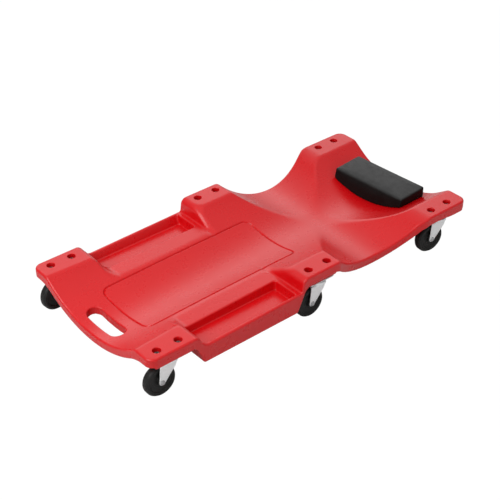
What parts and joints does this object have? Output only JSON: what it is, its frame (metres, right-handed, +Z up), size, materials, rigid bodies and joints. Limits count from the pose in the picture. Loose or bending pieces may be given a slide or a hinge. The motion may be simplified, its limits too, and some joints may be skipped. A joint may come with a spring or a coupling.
{
  "type": "mechanic creeper",
  "caption": "Low wheeled board for lying under a vehicle: a bowed, troughed hollow plastic deck with side tool trays, a hand slot and a padded headrest, on swivel plate casters.",
  "frame": {"origin": "on the floor, under the middle of the bounding box", "axes": "+X from the foot end (hand slot) to the head end (cushion), +Y to the left of a person lying on their back, +Z up"},
  "size_m": [1.0173, 0.472, 0.1325],
  "materials": {
    "deck": "semi-gloss blow-moulded polyethylene, red",
    "vinyl": "fine-grained black vinyl",
    "foam": "open-cell foam",
    "board": "bent plywood",
    "steel": "bright steel",
    "bolt": "zinc-plated",
    "zinc_plate": "zinc-plated pressed steel",
    "zinc_fork": "bright zinc-plated pressed steel",
    "rivet": "zinc-plated",
    "nylon": "natural nylon",
    "wheel": "black moulded hard plastic"
  },
  "bodies": {
    "deck_body": {"deck": "deck", "headrest_cover": "vinyl", "headrest_foam": "foam", "headrest_board": "board", "headrest_screws": "steel", "caster_bolts": "bolt", "caster_washers": "zinc_plate", "caster_nuts": "zinc_plate", "foot_left_plate": "zinc_plate", "foot_left_kingpin": "steel", "foot_right_plate": "zinc_plate", "foot_right_kingpin": "steel", "mid_left_plate": "zinc_plate", "mid_left_kingpin": "steel", "mid_right_plate": "zinc_plate", "mid_right_kingpin": "steel", "head_left_plate": "zinc_plate", "head_left_kingpin": "steel", "head_right_plate": "zinc_plate", "head_right_kingpin": "steel"},
    "foot_left_swivel_body": {"foot_left_fork": "zinc_fork", "foot_left_balls": "steel", "foot_left_axle": "rivet", "foot_left_bush": "nylon"},
    "foot_left_wheel_body": {"foot_left_wheel": "wheel"},
    "foot_right_swivel_body": {"foot_right_fork": "zinc_fork", "foot_right_balls": "steel", "foot_right_axle": "rivet", "foot_right_bush": "nylon"},
    "foot_right_wheel_body": {"foot_right_wheel": "wheel"},
    "mid_left_swivel_body": {"mid_left_fork": "zinc_fork", "mid_left_balls": "steel", "mid_left_axle": "rivet", "mid_left_bush": "nylon"},
    "mid_left_wheel_body": {"mid_left_wheel": "wheel"},
    "mid_right_swivel_body": {"mid_right_fork": "zinc_fork", "mid_right_balls": "steel", "mid_right_axle": "rivet", "mid_right_bush": "nylon"},
    "mid_right_wheel_body": {"mid_right_wheel": "wheel"},
    "head_left_swivel_body": {"head_left_fork": "zinc_fork", "head_left_balls": "steel", "head_left_axle": "rivet", "head_left_bush": "nylon"},
    "head_left_wheel_body": {"head_left_wheel": "wheel"},
    "head_right_swivel_body": {"head_right_fork": "zinc_fork", "head_right_balls": "steel", "head_right_axle": "rivet", "head_right_bush": "nylon"},
    "head_right_wheel_body": {"head_right_wheel": "wheel"}
  },
  "joints": [
    {"name": "foot_left_swivel", "type": "hinge", "parent": "deck_body", "child": "foot_left_swivel_body", "pos_m": [-0.4415, 0.21, 0.09], "axis": [0, 0, 1], "continuous": true},
    {"name": "foot_left_roll", "type": "hinge", "parent": "foot_left_swivel_body", "child": "foot_left_wheel_body", "pos_m": [-0.4684, 0.20765, 0.04], "axis": [-0.0872, 0.9962, 0], "continuous": true},
    {"name": "foot_right_swivel", "type": "hinge", "parent": "deck_body", "child": "foot_right_swivel_body", "pos_m": [-0.4415, -0.21, 0.09], "axis": [0, 0, 1], "continuous": true},
    {"name": "foot_right_roll", "type": "hinge", "parent": "foot_right_swivel_body", "child": "foot_right_wheel_body", "pos_m": [-0.46848, -0.20906, 0.04], "axis": [0.0349, 0.9994, 0], "continuous": true},
    {"name": "mid_left_swivel", "type": "hinge", "parent": "deck_body", "child": "mid_left_swivel_body", "pos_m": [0.005, 0.21, 0.09], "axis": [0, 0, 1], "continuous": true},
    {"name": "mid_left_roll", "type": "hinge", "parent": "mid_left_swivel_body", "child": "mid_left_wheel_body", "pos_m": [-0.022, 0.21, 0.04], "axis": [0, 1, 0], "continuous": true},
    {"name": "mid_right_swivel", "type": "hinge", "parent": "deck_body", "child": "mid_right_swivel_body", "pos_m": [0.005, -0.21, 0.09], "axis": [0, 0, 1], "continuous": true},
    {"name": "mid_right_roll", "type": "hinge", "parent": "mid_right_swivel_body", "child": "mid_right_wheel_body", "pos_m": [-0.022, -0.21, 0.04], "axis": [0, 1, 0], "continuous": true},
    {"name": "head_left_swivel", "type": "hinge", "parent": "deck_body", "child": "head_left_swivel_body", "pos_m": [0.4285, 0.21, 0.09], "axis": [0, 0, 1], "continuous": true},
    {"name": "head_left_roll", "type": "hinge", "parent": "head_left_swivel_body", "child": "head_left_wheel_body", "pos_m": [0.4015, 0.21, 0.04], "axis": [0, 1, 0], "continuous": true},
    {"name": "head_right_swivel", "type": "hinge", "parent": "deck_body", "child": "head_right_swivel_body", "pos_m": [0.4285, -0.21, 0.09], "axis": [0, 0, 1], "continuous": true},
    {"name": "head_right_roll", "type": "hinge", "parent": "head_right_swivel_body", "child": "head_right_wheel_body", "pos_m": [0.40165, -0.20718, 0.04], "axis": [0.1045, 0.9945, 0], "continuous": true}
  ]
}
